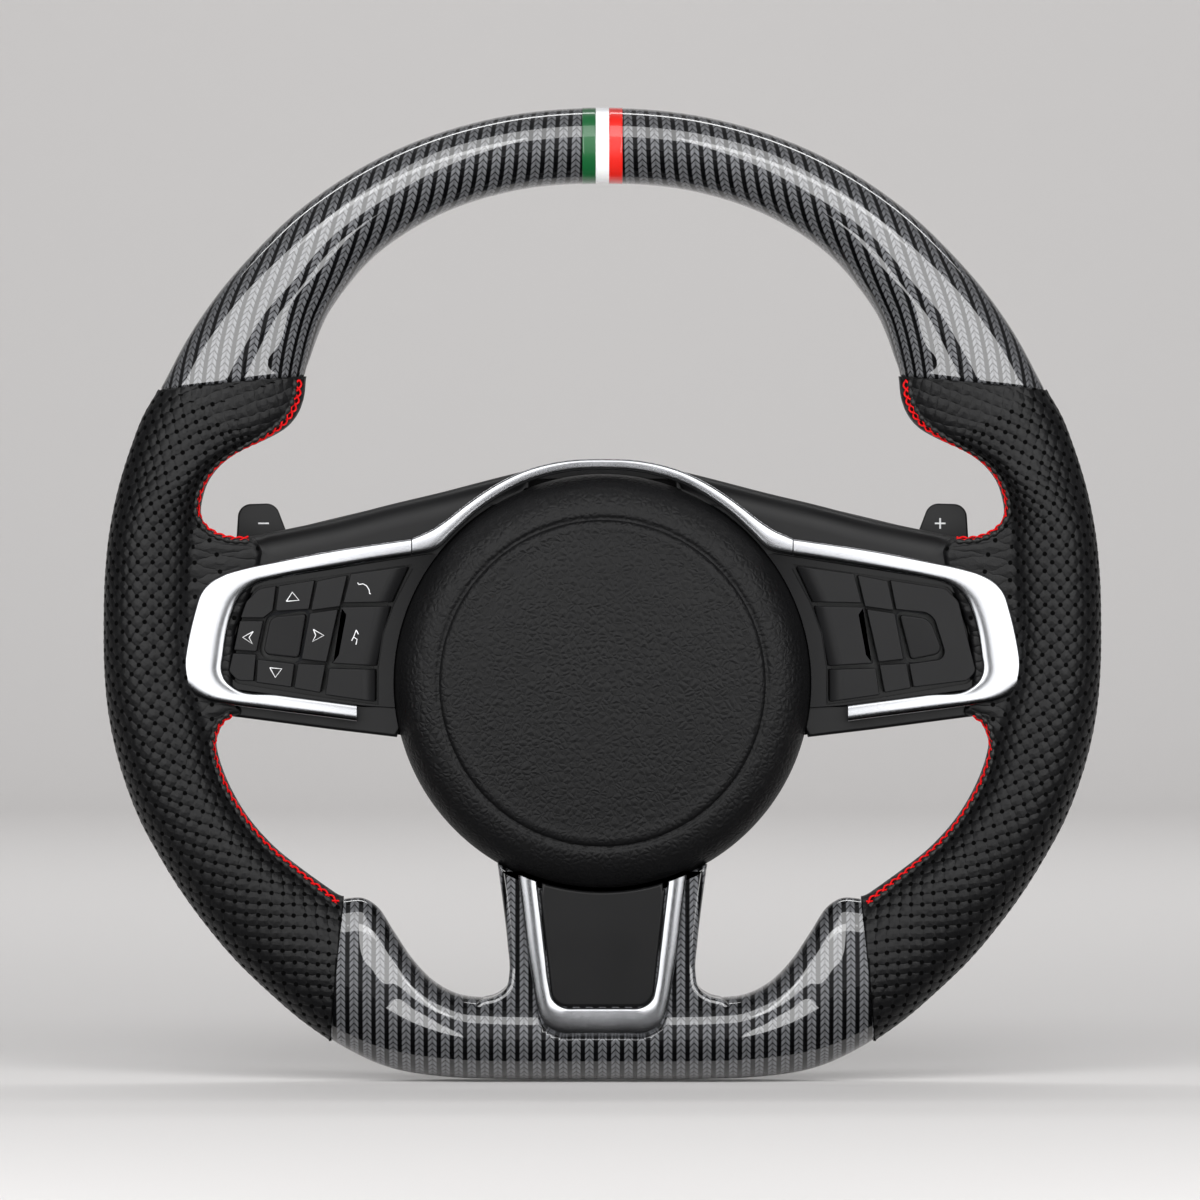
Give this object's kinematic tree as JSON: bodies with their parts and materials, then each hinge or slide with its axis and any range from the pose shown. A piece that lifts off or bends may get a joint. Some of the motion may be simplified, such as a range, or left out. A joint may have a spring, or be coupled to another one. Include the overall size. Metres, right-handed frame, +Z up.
{
  "type": "quick release steering wheel",
  "caption": "Flat-bottomed steering wheel with carbon and perforated leather rim, switch packs, shift paddles, horn pad and a quick release coupling at the back.",
  "frame": {"origin": "where the steering axis meets the rear face of the coupling's sleeve", "axes": "+Y along the steering axis away from the driver, +Z up, +X to the driver's right"},
  "size_m": [0.3694, 0.082, 0.3618],
  "materials": {
    "carbon": "woven carbon under clear gloss lacquer",
    "leather": "fine grain, perforated",
    "foam": "moulded foam",
    "cast_metal": "as cast",
    "carrier_steel": "zinc plated",
    "bright_trim": "satin chrome",
    "soft_plastic": "satin black",
    "gloss_plastic": "gloss black",
    "key_plastic": "fine matt",
    "pad_skin": "grained soft skin",
    "board": "circuit board",
    "spring_steel": "bright",
    "anodised": "black anodised",
    "stripe_green": "gloss",
    "stripe_white": "gloss",
    "stripe_red": "gloss"
  },
  "bodies": {
    "wheel": {"upper_rim_shell": "carbon", "lower_rim_shell": "carbon", "left_grip_leather": "leather", "right_grip_leather": "leather", "rim_foam": "foam", "rim_armature": "cast_metal", "left_paddle_bracket": "cast_metal", "right_paddle_bracket": "cast_metal", "top_arch_trim": "bright_trim", "left_switch_bezel": "bright_trim", "right_switch_bezel": "bright_trim", "lower_spoke_bezel": "bright_trim", "left_spoke_cover": "soft_plastic", "right_spoke_cover": "soft_plastic", "rear_cover": "soft_plastic", "lower_spoke_panel": "soft_plastic", "left_switch_housing": "gloss_plastic", "right_switch_housing": "gloss_plastic", "left_switch_board": "board", "left_paddle_pin": "spring_steel", "right_switch_board": "board", "right_paddle_pin": "spring_steel", "horn_spring_1": "spring_steel", "horn_spring_2": "spring_steel", "horn_spring_3": "spring_steel", "collar_spring": "spring_steel", "snap_ring": "spring_steel", "hub_screw_1": "spring_steel", "hub_screw_2": "spring_steel", "hub_screw_3": "spring_steel", "hub_screw_4": "spring_steel", "hub_screw_5": "spring_steel", "hub_screw_6": "spring_steel", "coupling_hub": "anodised", "wiring_socket": "anodised", "centre_stripe_green": "stripe_green", "centre_stripe_white": "stripe_white", "centre_stripe_red": "stripe_red", "coupling_shroud": "soft_plastic"},
    "pad": {"centre_pad": "pad_skin", "horn_carrier": "carrier_steel"},
    "collar": {"locking_collar": "anodised"},
    "left_paddle": {"left_paddle": "soft_plastic"},
    "left_gimbal": {"left_pad_gimbal": "cast_metal"},
    "left_direction_pad": {"left_direction_pad": "key_plastic"},
    "left_select": {"left_select_button": "key_plastic"},
    "left_upper_key": {"left_key_upper": "key_plastic"},
    "left_middle_key": {"left_key_middle": "key_plastic"},
    "left_lower_key": {"left_key_lower": "key_plastic"},
    "right_paddle": {"right_paddle": "soft_plastic"},
    "right_gimbal": {"right_pad_gimbal": "cast_metal"},
    "right_direction_pad": {"right_direction_pad": "key_plastic"},
    "right_select": {"right_select_button": "key_plastic"},
    "right_upper_key": {"right_key_upper": "key_plastic"},
    "right_middle_key": {"right_key_middle": "key_plastic"},
    "right_lower_key": {"right_key_lower": "key_plastic"},
    "ball_1": {"locking_ball_1": "spring_steel"},
    "ball_2": {"locking_ball_2": "spring_steel"},
    "ball_3": {"locking_ball_3": "spring_steel"},
    "ball_4": {"locking_ball_4": "spring_steel"}
  },
  "joints": [
    {"name": "pad_press", "type": "slide", "parent": "wheel", "child": "pad", "axis": [0, 1, 0], "range_m": [0, 0.0025], "stiffness_N_per_m": 4500, "springref_m": -0.004, "deforming": ["horn_spring_1", "horn_spring_2", "horn_spring_3"]},
    {"name": "left_paddle_pull", "type": "hinge", "parent": "wheel", "child": "left_paddle", "pos_m": [-0.096, -0.0365, 0], "axis": [0, 0, 1], "range_deg": [0, 5], "stiffness_Nm_per_rad": 0.8, "springref_deg": -3.44},
    {"name": "right_paddle_pull", "type": "hinge", "parent": "wheel", "child": "right_paddle", "pos_m": [0.096, -0.0365, 0], "axis": [0, 0, -1], "range_deg": [0, 5], "stiffness_Nm_per_rad": 0.8, "springref_deg": -3.44},
    {"name": "left_pad_rock", "type": "hinge", "parent": "wheel", "child": "left_gimbal", "pos_m": [-0.1185, -0.0625, -0.0115], "axis": [1, 0, 0], "range_deg": [-2.5, 2.5], "stiffness_Nm_per_rad": 1.2},
    {"name": "left_pad_roll", "type": "hinge", "parent": "left_gimbal", "child": "left_direction_pad", "pos_m": [-0.1185, -0.0625, -0.0115], "axis": [0, 0, 1], "range_deg": [-2.5, 2.5], "stiffness_Nm_per_rad": 1.2},
    {"name": "left_select_press", "type": "slide", "parent": "wheel", "child": "left_select", "axis": [0, 1, 0], "range_m": [0, 0.001], "stiffness_N_per_m": 1500, "springref_m": -0.001},
    {"name": "left_upper_key_press", "type": "slide", "parent": "wheel", "child": "left_upper_key", "axis": [0, 1, 0], "range_m": [0, 0.001], "stiffness_N_per_m": 1500, "springref_m": -0.001},
    {"name": "left_middle_key_press", "type": "slide", "parent": "wheel", "child": "left_middle_key", "axis": [0, 1, 0], "range_m": [0, 0.001], "stiffness_N_per_m": 1500, "springref_m": -0.001},
    {"name": "left_lower_key_press", "type": "slide", "parent": "wheel", "child": "left_lower_key", "axis": [0, 1, 0], "range_m": [0, 0.001], "stiffness_N_per_m": 1500, "springref_m": -0.001},
    {"name": "right_pad_rock", "type": "hinge", "parent": "wheel", "child": "right_gimbal", "pos_m": [0.1185, -0.0625, -0.0115], "axis": [1, 0, 0], "range_deg": [-2.5, 2.5], "stiffness_Nm_per_rad": 1.2},
    {"name": "right_pad_roll", "type": "hinge", "parent": "right_gimbal", "child": "right_direction_pad", "pos_m": [0.1185, -0.0625, -0.0115], "axis": [0, 0, 1], "range_deg": [-2.5, 2.5], "stiffness_Nm_per_rad": 1.2},
    {"name": "right_select_press", "type": "slide", "parent": "wheel", "child": "right_select", "axis": [0, 1, 0], "range_m": [0, 0.001], "stiffness_N_per_m": 1500, "springref_m": -0.001},
    {"name": "right_upper_key_press", "type": "slide", "parent": "wheel", "child": "right_upper_key", "axis": [0, 1, 0], "range_m": [0, 0.001], "stiffness_N_per_m": 1500, "springref_m": -0.001},
    {"name": "right_middle_key_press", "type": "slide", "parent": "wheel", "child": "right_middle_key", "axis": [0, 1, 0], "range_m": [0, 0.001], "stiffness_N_per_m": 1500, "springref_m": -0.001},
    {"name": "right_lower_key_press", "type": "slide", "parent": "wheel", "child": "right_lower_key", "axis": [0, 1, 0], "range_m": [0, 0.001], "stiffness_N_per_m": 1500, "springref_m": -0.001},
    {"name": "collar_release", "type": "slide", "parent": "wheel", "child": "collar", "axis": [0, -1, 0], "range_m": [0, 0.007], "stiffness_N_per_m": 1500, "springref_m": -0.006, "deforming": ["collar_spring"]},
    {"name": "ball_1_release", "type": "slide", "parent": "wheel", "child": "ball_1", "axis": [0.7071, 0, 0.7071], "range_m": [0, 0.0016]},
    {"name": "ball_2_release", "type": "slide", "parent": "wheel", "child": "ball_2", "axis": [-0.7071, 0, 0.7071], "range_m": [0, 0.0016]},
    {"name": "ball_3_release", "type": "slide", "parent": "wheel", "child": "ball_3", "axis": [-0.7071, 0, -0.7071], "range_m": [0, 0.0016]},
    {"name": "ball_4_release", "type": "slide", "parent": "wheel", "child": "ball_4", "axis": [0.7071, 0, -0.7071], "range_m": [0, 0.0016]}
  ],
  "couplings": [
    {"joint": "ball_1_release", "follows": "collar_release", "ratio": 0.2285},
    {"joint": "ball_2_release", "follows": "collar_release", "ratio": 0.2285},
    {"joint": "ball_3_release", "follows": "collar_release", "ratio": 0.2285},
    {"joint": "ball_4_release", "follows": "collar_release", "ratio": 0.2285}
  ]
}
